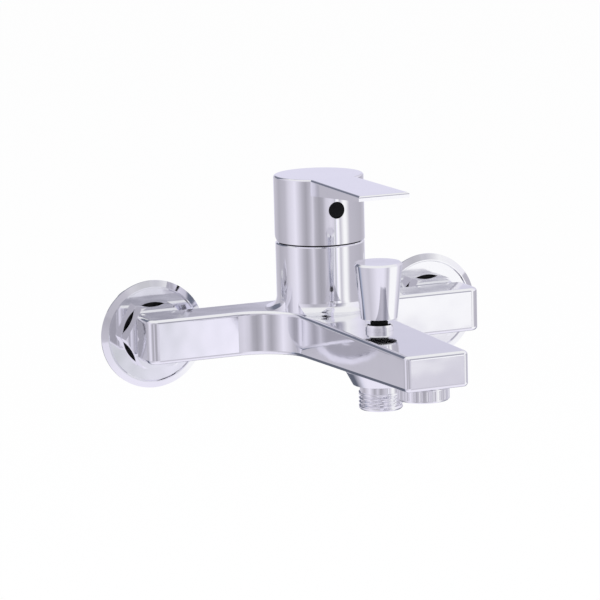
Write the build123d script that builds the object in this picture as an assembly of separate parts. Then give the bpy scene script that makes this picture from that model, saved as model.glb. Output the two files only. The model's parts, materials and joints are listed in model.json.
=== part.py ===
"""Wall mounted single lever bath mixer, built from its separate pieces. Millimetres.

Frame: +X to the right along the wall, +Y into the wall, +Z up.
Origin: midway between the two inlet axes, on the finished wall face.
"""

import os
from math import cos, pi, radians, sin, tan

from build123d import *

# Clearances
FIT_GAP = 0.05  # between pieces that are screwed or pushed together
RUN_GAP = 0.08  # radial, between a shaft and its bore
MOVE_GAP = 0.3  # between pieces that move past each other

# Pipe threads
G_HALF_RADIUS = 10.4775
G_THREE_QUARTER_RADIUS = 13.22
THREAD_PITCH = 1.814
THREAD_DEPTH = 0.9
THREAD_CREST = 0.5

# Inlets and the cast body's two arms
INLET_SPACING = 150.0
ARM_END_MARGIN = 14.0  # from the inlet axis to the arm's end face
ARM_BACK_Y = -12.4
ARM_FRONT_Y = -35.2
ARM_CORNER_RADIUS = 5.0
TIP_CORNER_RADIUS = 2.6
EDGE_RADIUS = 2.0

# Top and bottom planes of the body, at the arms' back and at the spout's tip
TOP_BACK_Z = 13.4
TOP_TIP_Z = 13.4
BOTTOM_BACK_Z = -9.3
BOTTOM_TIP_Z = -3.4

# Spout
SPOUT_TIP_Y = -174.0
SPOUT_ROOT_HALF_WIDTH = 19.4
SPOUT_TIP_HALF_WIDTH = 15.9
ARM_TO_SPOUT_BLEND = 24.0
WATERWAY_WALL = 2.4
CHANNEL_RADIUS = 5.0
SLOT_HALF = 4.8

# Tower and cartridge
TOWER_RADIUS = 22.0
TOWER_Y = -39.2
TOWER_TOP_Z = 46.4
TOWER_COVE = 6.0
TOWER_RIM = 0.6
CARTRIDGE_RADIUS = 17.6
CARTRIDGE_SEAT_Z = 13.0
PORT_RADIUS = 3.4
PORT_INSET = 9.1  # from the cartridge's side to the circle that its ports lie on
PORT_SIDE_ANGLE = 32.0  # hot and cold ports, above the left and right
SEAL_HEIGHT = 1.0
SEAL_WALL = 1.4
BASE_HEIGHT = 3.5
DISC_HEIGHT = 3.6
CARRIER_HEIGHT = 2.8
HOUSING_WALL = 2.4
HOUSING_TOP_WALL = 3.0
ROTOR_FLANGE_HEIGHT = 5.6
ROTOR_SHOULDER = 4.6
ROTOR_TOP_ABOVE_PIVOT = 4.0
RING_NUT_HEIGHT = 6.0
RING_NUT_WALL = 3.6

# Lever
PIVOT_Z = 41.0
PIVOT_PIN_RADIUS = 1.6
LIFT_DEG = 20.0
STEM_SIDE = 8.0
STEM_BALL_RADIUS = 2.8
STEM_BALL_DROP = 14.5  # from the pivot down to the ball that drives the disc
STEM_TOP_Z = 72.0
HANDLE_GAP = 0.8  # from the tower's top to the handle's lower edge
HANDLE_RADIUS = 22.2
HANDLE_REAR_TOP_Z = 79.4
HANDLE_SKIRT_WALL = 1.5
HANDLE_TOP_WALL = 4.0
HANDLE_BOSS_RADIUS = 8.6
HANDLE_BOSS_BOTTOM_Z = 59.0
LEVER_TIP_Y = -118.2
LEVER_TIP_TOP_Z = 79.4
LEVER_TIP_THICKNESS = 2.5
LEVER_ROOT_THICKNESS = 7.4
LEVER_ROOT_HALF_WIDTH = 12.1
LEVER_TIP_HALF_WIDTH = 13.0
LEVER_EDGE = 1.1
PLUG_Z = 64.2
PLUG_RADIUS = 4.1
PLUG_DEPTH = 3.0
PLUG_RECESS = 0.6
SET_SCREW_RADIUS = 2.5

# Dome cap over the cartridge
DOME_GAP = 0.6  # inside the handle's skirt
DOME_STRAIGHT = 1.4  # straight wall above the tower's top
DOME_RISE = 4.0
DOME_HOLE_GAP = 2.0  # round the rotor's neck
DOME_WALL = 1.2

# Diverter and shower outlet
DIVERTER_Y = -109.2
DIVERTER_RECESS_DEPTH = 3.0
DIVERTER_BORE = 5.3
CHAMBER_RADIUS = 8.3
CHAMBER_TOP_Z = 2.2
CHAMBER_BOTTOM_Z = -9.1
PISTON_SEAL_RADIUS = 7.5
PISTON_SEAL_HEIGHT = 1.5
PISTON_DISC_HEIGHT = 1.2
ROD_RADIUS = 2.5
BONNET_COLLAR_RADIUS = 6.65
BONNET_EDGE = 1.4
BONNET_TOP_Z = 16.7
BONNET_BOTTOM_Z = 6.7
SEAL_RING_RADIUS = 4.2
SEAL_RING_HEIGHT = 4.0
SEAL_RING_EDGE = 0.5
SPRING_WIRE = 0.8
SPRING_RADIUS = 4.2
SPRING_TURNS = 4.5
KNOB_BOTTOM_Z = 19.0
KNOB_TOP_Z = 46.0
KNOB_BOTTOM_RADIUS = 8.8
KNOB_TOP_RADIUS = 11.6
KNOB_EDGE = 1.0
KNOB_BOTTOM_EDGE = 0.5
KNOB_RIM = 0.3  # flat edge round the knob's hollow underside
KNOB_HOLLOW_DEPTH = 5.0
KNOB_SOCKET_DEPTH = 14.0
BOSS_TOP_RADIUS = 16.6
BOSS_BOTTOM_RADIUS = 13.2
BOSS_BOTTOM_Z = -12.3
NIPPLE_SPIGOT_RADIUS = 9.0
NIPPLE_BORE = 6.0
NIPPLE_NECK_RADIUS = 9.9
NIPPLE_NECK_HEIGHT = 3.0
NIPPLE_BOTTOM_Z = -24.3
NIPPLE_WASHER_HEIGHT = 0.8

# Aerator
AERATOR_Y = -157.8
AERATOR_RADIUS = 12.1
AERATOR_NECK_RADIUS = 11.0
AERATOR_BOTTOM_Z = -10.4
AERATOR_BORE_TOP_Z = 8.0
AERATOR_WALL = 1.6
AERATOR_WASHER_HEIGHT = 1.2
AERATOR_FLUTES = 24
AERATOR_FLUTE_DEPTH = 0.35
AERATOR_FLUTE_RADIUS = 0.9
AERATOR_LIP = 0.8
AERATOR_EDGE = 0.5
INSERT_WALL = 1.2
INSERT_SKIRT = 2.4
INSERT_PLATE = 2.0
JET_RINGS = ((2.6, 6), (5.4, 12))  # radius and number of holes
JET_HOLE_RADIUS = 0.9

# Union nuts, inlet sleeves, eccentric unions and wall flanges
SLEEVE_RADIUS = 6.4
SLEEVE_BORE = 4.6
SLEEVE_DEPTH_IN_ARM = 11.0
SLEEVE_FLANGE_RADIUS = 12.3
SLEEVE_FLANGE_HEIGHT = 1.6
NUT_ACROSS_FLATS = 30.2
NUT_FRONT_Y = -10.0
NUT_TO_FLANGE = 0.2
NUT_LIP_HEIGHT = 1.0
NUT_CHAMFER = 1.0
GASKET_HEIGHT = 1.8
UNION_BORE = 8.6
UNION_BODY_BACK_Y = 5.0
UNION_OFFSET = 8.0
UNION_TURN_LENGTH = 6.0
UNION_SHOULDER_RADIUS = 11.4
UNION_TAIL_LENGTH = 18.0
UNION_TAIL_BORE = 7.2
FLANGE_RADIUS = 27.1
FLANGE_HEIGHT = 2.2  # of the raised ring round its face
FLANGE_FACE_HEIGHT = 1.5
FLANGE_RIM = 0.7
FLANGE_BEVEL = 3.0
FLANGE_RIDGE = 0.5
FLANGE_WEB = 0.7
FLANGE_HOLE_GAP = 1.2  # between the nut's flats and the hole's edge

# Worked out from the sizes above
ARM_HALF_LENGTH = INLET_SPACING / 2 + ARM_END_MARGIN
CHANNEL_Y = ARM_BACK_Y - SLEEVE_DEPTH_IN_ARM
NUT_CORNER_RADIUS = NUT_ACROSS_FLATS / 2 / cos(pi / 6)
NUT_BACK_Y = -FLANGE_FACE_HEIGHT - NUT_TO_FLANGE
FLANGE_HOLE_RADIUS = NUT_ACROSS_FLATS / 2 + FLANGE_HOLE_GAP
PLANE_MARGIN = 30.0  # cutters reach this far past what they cut
BASE_BOTTOM_Z = CARTRIDGE_SEAT_Z + SEAL_HEIGHT
DISC_BOTTOM_Z = BASE_BOTTOM_Z + BASE_HEIGHT
MOVING_DISC_Z = DISC_BOTTOM_Z + DISC_HEIGHT + FIT_GAP
CARRIER_Z = MOVING_DISC_Z + DISC_HEIGHT
ROTOR_BOTTOM_Z = CARRIER_Z + CARRIER_HEIGHT + MOVE_GAP
ROTOR_SHOULDER_Z = ROTOR_BOTTOM_Z + ROTOR_FLANGE_HEIGHT
HOUSING_TOP_Z = ROTOR_SHOULDER_Z + RUN_GAP + HOUSING_TOP_WALL
HOUSING_BORE = CARTRIDGE_RADIUS - HOUSING_WALL
DISC_TRAVEL = STEM_BALL_DROP * radians(LIFT_DEG)
FIXED_DISC_RADIUS = HOUSING_BORE - 2 * MOVE_GAP
MOVING_DISC_RADIUS = HOUSING_BORE - DISC_TRAVEL / 2 - 2 * MOVE_GAP
ROTOR_NECK_RADIUS = HOUSING_BORE - ROTOR_SHOULDER
PORT_CIRCLE = CARTRIDGE_RADIUS - PORT_INSET
PORT_SIDE_X = PORT_CIRCLE * cos(radians(PORT_SIDE_ANGLE))
PORT_SIDE_DY = PORT_CIRCLE * sin(radians(PORT_SIDE_ANGLE))
DOME_RADIUS = HANDLE_RADIUS - HANDLE_SKIRT_WALL - DOME_GAP
DOME_HOLE_RADIUS = ROTOR_NECK_RADIUS + DOME_HOLE_GAP
HANDLE_BOTTOM_Z = TOWER_TOP_Z + HANDLE_GAP
LEVER_SLOPE = (HANDLE_REAR_TOP_Z - LEVER_TIP_TOP_Z) / (TOWER_Y + HANDLE_RADIUS - LEVER_TIP_Y)
DIVERTER_RECESS_RADIUS = BONNET_COLLAR_RADIUS + FIT_GAP
KNOB_HOLLOW_RADIUS = KNOB_BOTTOM_RADIUS - KNOB_BOTTOM_EDGE - KNOB_RIM
PISTON_BOTTOM_Z = CHAMBER_BOTTOM_Z + 2 * FIT_GAP
PISTON_TOP_Z = PISTON_BOTTOM_Z + 2 * PISTON_SEAL_HEIGHT + PISTON_DISC_HEIGHT


def top_z(y):
    """Height of the body's top plane above a place y."""
    return TOP_BACK_Z + (TOP_TIP_Z - TOP_BACK_Z) * (ARM_BACK_Y - y) / (ARM_BACK_Y - SPOUT_TIP_Y)


def bottom_z(y):
    """Height of the body's bottom plane at a place y."""
    return BOTTOM_BACK_Z + (BOTTOM_TIP_Z - BOTTOM_BACK_Z) * (ARM_BACK_Y - y) / (ARM_BACK_Y - SPOUT_TIP_Y)


def handle_top_z(y):
    """Height of the handle's sloping top plane at a place y."""
    return HANDLE_REAR_TOP_Z - LEVER_SLOPE * (TOWER_Y + HANDLE_RADIUS - y)


def turned(points, x=0.0, y=0.0):
    """Solid turned about an upright axis at (x, y), from its (radius, height) outline."""
    outline = Polyline(*[(radius, 0, height) for radius, height in points], close=True)
    return Pos(x, y, 0) * revolve(make_face(outline), Axis.Z)


def pipe(radius, bore, low, high, x=0.0, y=0.0):
    """Upright tube, or a rod where the bore is 0."""
    return turned([(bore, low), (radius, low), (radius, high), (bore, high)], x, y)


def facing_wall(part, x):
    """Turns a solid whose axis is +Z so that +Z points into the wall, on an inlet axis at x."""
    return Pos(x, 0, 0) * Rot(-90, 0, 0) * part


def rod_between(start, end, radius):
    """Straight round rod from one point to another."""
    line = Vector(*end) - Vector(*start)
    base = Plane(origin=start, z_dir=line.normalized())
    return Part() + Solid.make_cylinder(radius, line.length, base)


def block(x0, x1, y0, y1, z0, z1):
    """Box between two corners."""
    return Pos((x0 + x1) / 2, (y0 + y1) / 2, (z0 + z1) / 2) * Box(x1 - x0, y1 - y0, z1 - z0)


def ring_thread(radius, low, high):
    """Outline points down a threaded stretch, as rings of the thread's pitch and depth."""
    points = [(radius, high)]
    groove = (THREAD_PITCH - THREAD_CREST) / 2
    z = high - THREAD_CREST
    while z - THREAD_PITCH >= low:
        points += [(radius, z), (radius - THREAD_DEPTH, z - groove), (radius, z - 2 * groove)]
        z -= THREAD_PITCH
    return points + [(radius, low)]


# Cast body


def body_plan(inset=0.0):
    """Outline of the arms and spout from above, drawn in by an inset."""
    arm_x = ARM_HALF_LENGTH - inset
    back = ARM_BACK_Y - inset
    front = ARM_FRONT_Y + inset
    tip = SPOUT_TIP_Y + inset
    root = SPOUT_ROOT_HALF_WIDTH - inset
    end = SPOUT_TIP_HALF_WIDTH - inset
    half = [(arm_x, back), (arm_x, front), (root, front), (end, tip)]
    outline = half + [(-x, y) for x, y in reversed(half)]
    face = make_face(Polyline(*outline, close=True))
    crotch = [v for v in face.vertices() if abs(v.Y - front) < 0.01 and abs(v.X) < root + 0.01]
    return fillet(crotch, ARM_TO_SPOUT_BLEND + inset)


def arms_and_spout():
    """Solid wedge of the arms and spout, with its edges rounded."""
    prism = extrude(Pos(0, 0, -PLANE_MARGIN) * body_plan(), 2 * PLANE_MARGIN)
    y_back, y_tip = ARM_BACK_Y + PLANE_MARGIN, SPOUT_TIP_Y - PLANE_MARGIN
    side = [
        (0, y_back, top_z(y_back)),
        (0, y_tip, top_z(y_tip)),
        (0, y_tip, bottom_z(y_tip)),
        (0, y_back, bottom_z(y_back)),
    ]
    wedge = extrude(make_face(Polyline(*side, close=True)), ARM_HALF_LENGTH + PLANE_MARGIN, both=True)
    solid = prism & wedge
    arm_ends = [e for e in solid.edges().filter_by(Axis.Z) if abs(abs(e.center().X) - ARM_HALF_LENGTH) < 0.1]
    solid = fillet(arm_ends, ARM_CORNER_RADIUS)
    tip_sides = [e for e in solid.edges().filter_by(Axis.Z) if abs(e.center().Y - SPOUT_TIP_Y) < 0.1]
    solid = fillet(tip_sides, TIP_CORNER_RADIUS)
    by_height = solid.faces().sort_by(Axis.Z)
    rims = [edge for face in (by_height[0], by_height[-1]) for edge in face.outer_wire().edges()]
    return fillet(rims, EDGE_RADIUS)


def tower():
    """Tower for the cartridge, with a cove where it rises from the arms and spout."""
    foot = top_z(TOWER_Y - TOWER_RADIUS - TOWER_COVE)
    wide = TOWER_RADIUS + TOWER_COVE
    high = foot + TOWER_COVE
    low = foot - 3
    middle = TOWER_COVE * (1 - cos(pi / 4))
    halfway = (TOWER_RADIUS + middle, 0, foot + middle)
    curve = ThreePointArc((wide, 0, foot), halfway, (TOWER_RADIUS, 0, high))
    rest = Polyline((TOWER_RADIUS, 0, high), (0, 0, high), (0, 0, low), (wide, 0, low), (wide, 0, foot))
    cove = Pos(0, TOWER_Y, 0) * revolve(make_face([curve, rest]), Axis.Z)
    trim = extrude(Pos(0, 0, foot - 3) * body_plan(EDGE_RADIUS), PLANE_MARGIN)
    shaft = turned(
        [
            (0, 0),
            (TOWER_RADIUS, 0),
            (TOWER_RADIUS, TOWER_TOP_Z - TOWER_RIM),
            (TOWER_RADIUS - TOWER_RIM, TOWER_TOP_Z),
            (0, TOWER_TOP_Z),
        ],
        0,
        TOWER_Y,
    )
    return shaft + (cove & trim)


def shower_boss():
    """Tapered boss under the spout that takes the shower outlet."""
    low = bottom_z(DIVERTER_Y)
    high = low + EDGE_RADIUS + 1
    upper = [(0, high), (BOSS_TOP_RADIUS, high), (BOSS_TOP_RADIUS, low)]
    lower = [(BOSS_BOTTOM_RADIUS, BOSS_BOTTOM_Z), (0, BOSS_BOTTOM_Z)]
    return turned(upper + lower, 0, DIVERTER_Y)


def waterways():
    """Everything that is drilled or cored out of the body."""
    cuts = [pipe(CARTRIDGE_RADIUS + FIT_GAP, 0, CARTRIDGE_SEAT_Z, TOWER_TOP_Z + 1, 0, TOWER_Y)]
    channel_z = (TOP_BACK_Z + BOTTOM_BACK_Z) / 2
    for side in (-1, 1):
        inlet_x = side * INLET_SPACING / 2
        port_x = side * PORT_SIDE_X
        port_y = TOWER_Y + PORT_SIDE_DY
        mouth = (inlet_x, ARM_BACK_Y + 1, 0)
        corner = (port_x, CHANNEL_Y, channel_z)
        under_port = (port_x, port_y, channel_z)
        cuts += [
            rod_between(mouth, (inlet_x, CHANNEL_Y, 0), SLEEVE_RADIUS + FIT_GAP),
            rod_between((inlet_x, CHANNEL_Y, channel_z), corner, CHANNEL_RADIUS),
            rod_between((port_x, CHANNEL_Y + PORT_RADIUS, channel_z), under_port, PORT_RADIUS),
            pipe(PORT_RADIUS, 0, channel_z - PORT_RADIUS, CARTRIDGE_SEAT_Z + 1, port_x, port_y),
        ]
    outlet_y = TOWER_Y - PORT_CIRCLE
    slot_low = bottom_z(DIVERTER_Y) + WATERWAY_WALL
    slot_high = CHAMBER_TOP_Z - 0.5
    cuts += [
        pipe(PORT_RADIUS, 0, slot_low, CARTRIDGE_SEAT_Z + 1, 0, outlet_y),
        block(-SLOT_HALF, SLOT_HALF, DIVERTER_Y, outlet_y + PORT_RADIUS, slot_low, slot_high),
    ]
    recess_floor = top_z(DIVERTER_Y) - DIVERTER_RECESS_DEPTH
    cuts += [
        pipe(DIVERTER_RECESS_RADIUS, 0, recess_floor, top_z(DIVERTER_Y) + 2, 0, DIVERTER_Y),
        pipe(DIVERTER_BORE, 0, CHAMBER_TOP_Z - 1, recess_floor + 1, 0, DIVERTER_Y),
        pipe(CHAMBER_RADIUS, 0, CHAMBER_BOTTOM_Z, CHAMBER_TOP_Z, 0, DIVERTER_Y),
        pipe(NIPPLE_SPIGOT_RADIUS + FIT_GAP, 0, BOSS_BOTTOM_Z - 1, CHAMBER_BOTTOM_Z, 0, DIVERTER_Y),
        pipe(AERATOR_NECK_RADIUS + FIT_GAP, 0, bottom_z(AERATOR_Y) - 2, AERATOR_BORE_TOP_Z, 0, AERATOR_Y),
        block(-SLOT_HALF, SLOT_HALF, AERATOR_Y, DIVERTER_Y, CHAMBER_TOP_Z + 0.3, BONNET_BOTTOM_Z - 0.3),
    ]
    return cuts


def mixer_body():
    solid = arms_and_spout() + tower() + shower_boss()
    for cut in waterways():
        solid = solid - cut
    return solid


# Inlet pieces, one set on each side


def inlet_sleeve(x):
    flange_back = NUT_FRONT_Y + NUT_LIP_HEIGHT + FIT_GAP + SLEEVE_FLANGE_HEIGHT
    inner = ARM_BACK_Y - SLEEVE_DEPTH_IN_ARM
    return facing_wall(
        turned(
            [
                (SLEEVE_BORE, inner),
                (SLEEVE_RADIUS, inner),
                (SLEEVE_RADIUS, flange_back - SLEEVE_FLANGE_HEIGHT),
                (SLEEVE_FLANGE_RADIUS, flange_back - SLEEVE_FLANGE_HEIGHT),
                (SLEEVE_FLANGE_RADIUS, flange_back),
                (SLEEVE_BORE, flange_back),
            ]
        ),
        x,
    )


def inlet_gasket(x):
    low = NUT_FRONT_Y + NUT_LIP_HEIGHT + FIT_GAP + SLEEVE_FLANGE_HEIGHT
    return facing_wall(pipe(SLEEVE_FLANGE_RADIUS, UNION_BORE, low, low + GASKET_HEIGHT), x)


def union_nut(x):
    """Hexagon nut with a lip that holds the sleeve's flange, and its corners turned off at both ends."""
    length = NUT_BACK_Y - NUT_FRONT_Y
    hexagon = extrude(Pos(0, 0, NUT_FRONT_Y) * RegularPolygon(NUT_CORNER_RADIUS, 6), length)
    fall = NUT_CHAMFER * tan(radians(30))
    envelope = turned(
        [
            (0, NUT_FRONT_Y),
            (NUT_CORNER_RADIUS - NUT_CHAMFER, NUT_FRONT_Y),
            (NUT_CORNER_RADIUS, NUT_FRONT_Y + fall),
            (NUT_CORNER_RADIUS, NUT_BACK_Y - fall),
            (NUT_CORNER_RADIUS - NUT_CHAMFER, NUT_BACK_Y),
            (0, NUT_BACK_Y),
        ]
    )
    lip_bore = pipe(SLEEVE_RADIUS + RUN_GAP, 0, NUT_FRONT_Y - 1, NUT_BACK_Y)
    thread_bore = pipe(G_THREE_QUARTER_RADIUS + FIT_GAP, 0, NUT_FRONT_Y + NUT_LIP_HEIGHT, NUT_BACK_Y + 1)
    return facing_wall((hexagon & envelope) - lip_bore - thread_bore, x)


def eccentric_union(x):
    """Offset connector: a wide thread inside the nut and a narrow tail in the wall, on parallel axes."""
    front = NUT_FRONT_Y + NUT_LIP_HEIGHT + FIT_GAP + SLEEVE_FLANGE_HEIGHT + GASKET_HEIGHT
    turn_end = UNION_BODY_BACK_Y + UNION_TURN_LENGTH
    tail_end = turn_end + UNION_TAIL_LENGTH
    head = pipe(G_THREE_QUARTER_RADIUS, 0, front, UNION_BODY_BACK_Y)
    offset = Pos(0, -UNION_OFFSET, 0)  # becomes +Z once the axis points into the wall
    shoulder = loft(
        [
            Pos(0, 0, UNION_BODY_BACK_Y) * Circle(G_THREE_QUARTER_RADIUS),
            Pos(0, -UNION_OFFSET, turn_end) * Circle(UNION_SHOULDER_RADIUS),
        ]
    )
    tail = offset * turned(
        [(0, tail_end), *[(r, z) for r, z in ring_thread(G_HALF_RADIUS, turn_end, tail_end)], (0, turn_end)]
    )
    solid = head + shoulder + tail
    turn_bore = loft(
        [
            Pos(0, 0, UNION_BODY_BACK_Y) * Circle(UNION_BORE),
            Pos(0, -UNION_OFFSET, turn_end) * Circle(UNION_TAIL_BORE),
        ]
    )
    solid = solid - pipe(UNION_BORE, 0, front - 1, UNION_BODY_BACK_Y) - turn_bore
    return facing_wall(solid - offset * pipe(UNION_TAIL_BORE, 0, turn_end, tail_end + 1), x)


def wall_flange(x):
    """Cover ring that hides the hole in the wall, with a web that fits round the eccentric union."""
    ridge = FLANGE_RADIUS - FLANGE_BEVEL
    outer = [
        (G_THREE_QUARTER_RADIUS + FIT_GAP, 0),
        (FLANGE_RADIUS, 0),
        (FLANGE_RADIUS, -FLANGE_RIM),
        (ridge, -FLANGE_HEIGHT),
        (ridge - FLANGE_RIDGE, -FLANGE_HEIGHT),
        (ridge - 2 * FLANGE_RIDGE, -FLANGE_FACE_HEIGHT),
        (FLANGE_HOLE_RADIUS, -FLANGE_FACE_HEIGHT),
    ]
    inner = [(FLANGE_HOLE_RADIUS, -FLANGE_WEB), (G_THREE_QUARTER_RADIUS + FIT_GAP, -FLANGE_WEB)]
    return facing_wall(turned(outer + inner), x)


# Cartridge


def port_places():
    """Centres of the hot, cold and mixed water ports."""
    return [
        (-PORT_SIDE_X, TOWER_Y + PORT_SIDE_DY),
        (PORT_SIDE_X, TOWER_Y + PORT_SIDE_DY),
        (0, TOWER_Y - PORT_CIRCLE),
    ]


def with_ports(solid, low, high):
    """Drills the three water ports through a disc."""
    for x, y in port_places():
        solid = solid - pipe(PORT_RADIUS, 0, low - 1, high + 1, x, y)
    return solid


def port_seal(x, y):
    """Rubber ring between the tower's floor and the cartridge, round one port."""
    return pipe(PORT_RADIUS + SEAL_WALL, PORT_RADIUS, CARTRIDGE_SEAT_Z, BASE_BOTTOM_Z, x, y)


def cartridge_base():
    plate = pipe(CARTRIDGE_RADIUS, 0, BASE_BOTTOM_Z, DISC_BOTTOM_Z, 0, TOWER_Y)
    return with_ports(plate, BASE_BOTTOM_Z, DISC_BOTTOM_Z)


def fixed_disc():
    top = DISC_BOTTOM_Z + DISC_HEIGHT
    return with_ports(pipe(FIXED_DISC_RADIUS, 0, DISC_BOTTOM_Z, top, 0, TOWER_Y), DISC_BOTTOM_Z, top)


def moving_disc_y():
    """Centre of the moving disc when the lever is down: half its travel behind the cartridge's axis."""
    return TOWER_Y + DISC_TRAVEL / 2


def moving_disc():
    """Ceramic disc with a hollow underneath that joins the ports."""
    y = moving_disc_y()
    disc = pipe(MOVING_DISC_RADIUS, 0, MOVING_DISC_Z, CARRIER_Z, 0, y)
    hollow = pipe(PORT_SIDE_X, 0, MOVING_DISC_Z - 1, MOVING_DISC_Z + DISC_HEIGHT / 2, 0, y)
    return disc - hollow


def disc_carrier():
    """Plate that carries the moving disc, with a pocket for the stem's ball."""
    pocket = STEM_BALL_RADIUS + MOVE_GAP
    plate = pipe(MOVING_DISC_RADIUS, 0, CARRIER_Z, CARRIER_Z + CARRIER_HEIGHT, 0, moving_disc_y())
    return plate - pipe(pocket, 0, CARRIER_Z - 1, CARRIER_Z + CARRIER_HEIGHT + 1, 0, TOWER_Y)


def cartridge_housing():
    """Plastic cup that holds the discs and the rotor, open at the top for the rotor's neck."""
    return turned(
        [
            (HOUSING_BORE, DISC_BOTTOM_Z),
            (CARTRIDGE_RADIUS, DISC_BOTTOM_Z),
            (CARTRIDGE_RADIUS, HOUSING_TOP_Z),
            (ROTOR_NECK_RADIUS + RUN_GAP, HOUSING_TOP_Z),
            (ROTOR_NECK_RADIUS + RUN_GAP, ROTOR_SHOULDER_Z + RUN_GAP),
            (HOUSING_BORE, ROTOR_SHOULDER_Z + RUN_GAP),
        ],
        0,
        TOWER_Y,
    )


def ring_nut():
    """Threaded ring that clamps the cartridge down in the tower."""
    bore = CARTRIDGE_RADIUS - RING_NUT_WALL
    return pipe(CARTRIDGE_RADIUS, bore, HOUSING_TOP_Z, HOUSING_TOP_Z + RING_NUT_HEIGHT, 0, TOWER_Y)


def dome_cap():
    """Thin cap over the ring nut, standing on the tower's top."""
    low = TOWER_TOP_Z
    shoulder = low + DOME_STRAIGHT
    top = shoulder + DOME_RISE
    skirt_low = HOUSING_TOP_Z + RING_NUT_HEIGHT
    return turned(
        [
            (CARTRIDGE_RADIUS - DOME_WALL, skirt_low),
            (CARTRIDGE_RADIUS, skirt_low),
            (CARTRIDGE_RADIUS, low),
            (DOME_RADIUS, low),
            (DOME_RADIUS, shoulder),
            (DOME_HOLE_RADIUS, top),
            (DOME_HOLE_RADIUS, top - DOME_WALL),
            (CARTRIDGE_RADIUS - DOME_WALL, shoulder - DOME_WALL / 2),
        ],
        0,
        TOWER_Y,
    )


def cross_rod(reach, radius):
    """Rod along the lever's pivot axis, reaching as far to both sides."""
    return rod_between((-reach, TOWER_Y, PIVOT_Z), (reach, TOWER_Y, PIVOT_Z), radius)


def rotor():
    """Turning core of the cartridge, slotted for the lever stem and cross drilled for its pin."""
    top = PIVOT_Z + ROTOR_TOP_ABOVE_PIVOT
    core = turned(
        [
            (0, ROTOR_BOTTOM_Z),
            (HOUSING_BORE - RUN_GAP, ROTOR_BOTTOM_Z),
            (HOUSING_BORE - RUN_GAP, ROTOR_SHOULDER_Z),
            (ROTOR_NECK_RADIUS, ROTOR_SHOULDER_Z),
            (ROTOR_NECK_RADIUS, top),
            (0, top),
        ],
        0,
        TOWER_Y,
    )
    half = STEM_SIDE / 2
    lean = sin(radians(LIFT_DEG))
    back_room = half + ROTOR_TOP_ABOVE_PIVOT * lean + 2 * MOVE_GAP
    front_room = half + (PIVOT_Z - ROTOR_BOTTOM_Z) * lean + MOVE_GAP
    side = half + MOVE_GAP
    slot = block(-side, side, TOWER_Y - front_room, TOWER_Y + back_room, ROTOR_BOTTOM_Z - 1, top + 1)
    pin_hole = cross_rod(ROTOR_NECK_RADIUS + 1, PIVOT_PIN_RADIUS + FIT_GAP)
    return core - slot - pin_hole


def pivot_pin():
    return cross_rod(ROTOR_NECK_RADIUS - MOVE_GAP, PIVOT_PIN_RADIUS)


# Lever


def lever_stem():
    """Square stem with a ball at its foot, drilled for the pivot pin."""
    half = STEM_SIDE / 2
    ball_z = PIVOT_Z - STEM_BALL_DROP
    neck_z = ROTOR_BOTTOM_Z + MOVE_GAP
    bar = block(-half, half, TOWER_Y - half, TOWER_Y + half, neck_z, STEM_TOP_Z)
    neck = pipe(STEM_BALL_RADIUS - 0.6, 0, ball_z, neck_z, 0, TOWER_Y)
    ball = Pos(0, TOWER_Y, ball_z) * Sphere(STEM_BALL_RADIUS)
    floor = block(-half, half, TOWER_Y - half, TOWER_Y + half, ball_z - STEM_SIDE, CARRIER_Z + MOVE_GAP)
    return bar + neck + (ball - floor) - cross_rod(STEM_SIDE, PIVOT_PIN_RADIUS + RUN_GAP)


def handle_cap():
    """Round part of the handle, hollow underneath, with its rear edge cut away so that it can tip."""
    tall = HANDLE_REAR_TOP_Z + PLANE_MARGIN
    cap = pipe(HANDLE_RADIUS, 0, HANDLE_BOTTOM_Z, tall, 0, TOWER_Y)
    cavity_radius = HANDLE_RADIUS - HANDLE_SKIRT_WALL
    cavity_top = handle_top_z(TOWER_Y - HANDLE_RADIUS) - HANDLE_TOP_WALL
    cavity = pipe(cavity_radius, 0, HANDLE_BOTTOM_Z - 1, cavity_top, 0, TOWER_Y)
    boss = pipe(HANDLE_BOSS_RADIUS, 0, HANDLE_BOSS_BOTTOM_Z, cavity_top, 0, TOWER_Y)
    wall_y = TOWER_Y - cavity_radius - HANDLE_SKIRT_WALL / 2
    bridge = rod_between((0, TOWER_Y, PLUG_Z), (0, wall_y, PLUG_Z), PLUG_RADIUS + HANDLE_SKIRT_WALL)
    return cap - (cavity - boss - bridge)


def lever_plate():
    """Flat lever, thinning to its tip, as a solid that reaches back into the cap."""
    root_y = TOWER_Y - HANDLE_RADIUS
    start_y = TOWER_Y - LEVER_ROOT_HALF_WIDTH
    flare = (LEVER_TIP_HALF_WIDTH - LEVER_ROOT_HALF_WIDTH) / (root_y - LEVER_TIP_Y)
    start_half = LEVER_ROOT_HALF_WIDTH - flare * (start_y - root_y)
    plan = [
        (-start_half, start_y),
        (start_half, start_y),
        (LEVER_TIP_HALF_WIDTH, LEVER_TIP_Y),
        (-LEVER_TIP_HALF_WIDTH, LEVER_TIP_Y),
    ]
    low = HANDLE_BOSS_BOTTOM_Z
    tall = HANDLE_REAR_TOP_Z + PLANE_MARGIN - low
    prism = extrude(Pos(0, 0, low) * make_face(Polyline(*plan, close=True)), tall)
    root_low = handle_top_z(root_y) - LEVER_ROOT_THICKNESS
    tip_low = LEVER_TIP_TOP_Z - LEVER_TIP_THICKNESS
    rise = (tip_low - root_low) / (root_y - LEVER_TIP_Y)
    under = [
        (0, start_y + 1, root_low - rise * (start_y + 1 - root_y)),
        (0, LEVER_TIP_Y - 1, tip_low + rise),
        (0, LEVER_TIP_Y - 1, low - 1),
        (0, start_y + 1, low - 1),
    ]
    return prism - extrude(make_face(Polyline(*under, close=True)), PLANE_MARGIN, both=True)


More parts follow.
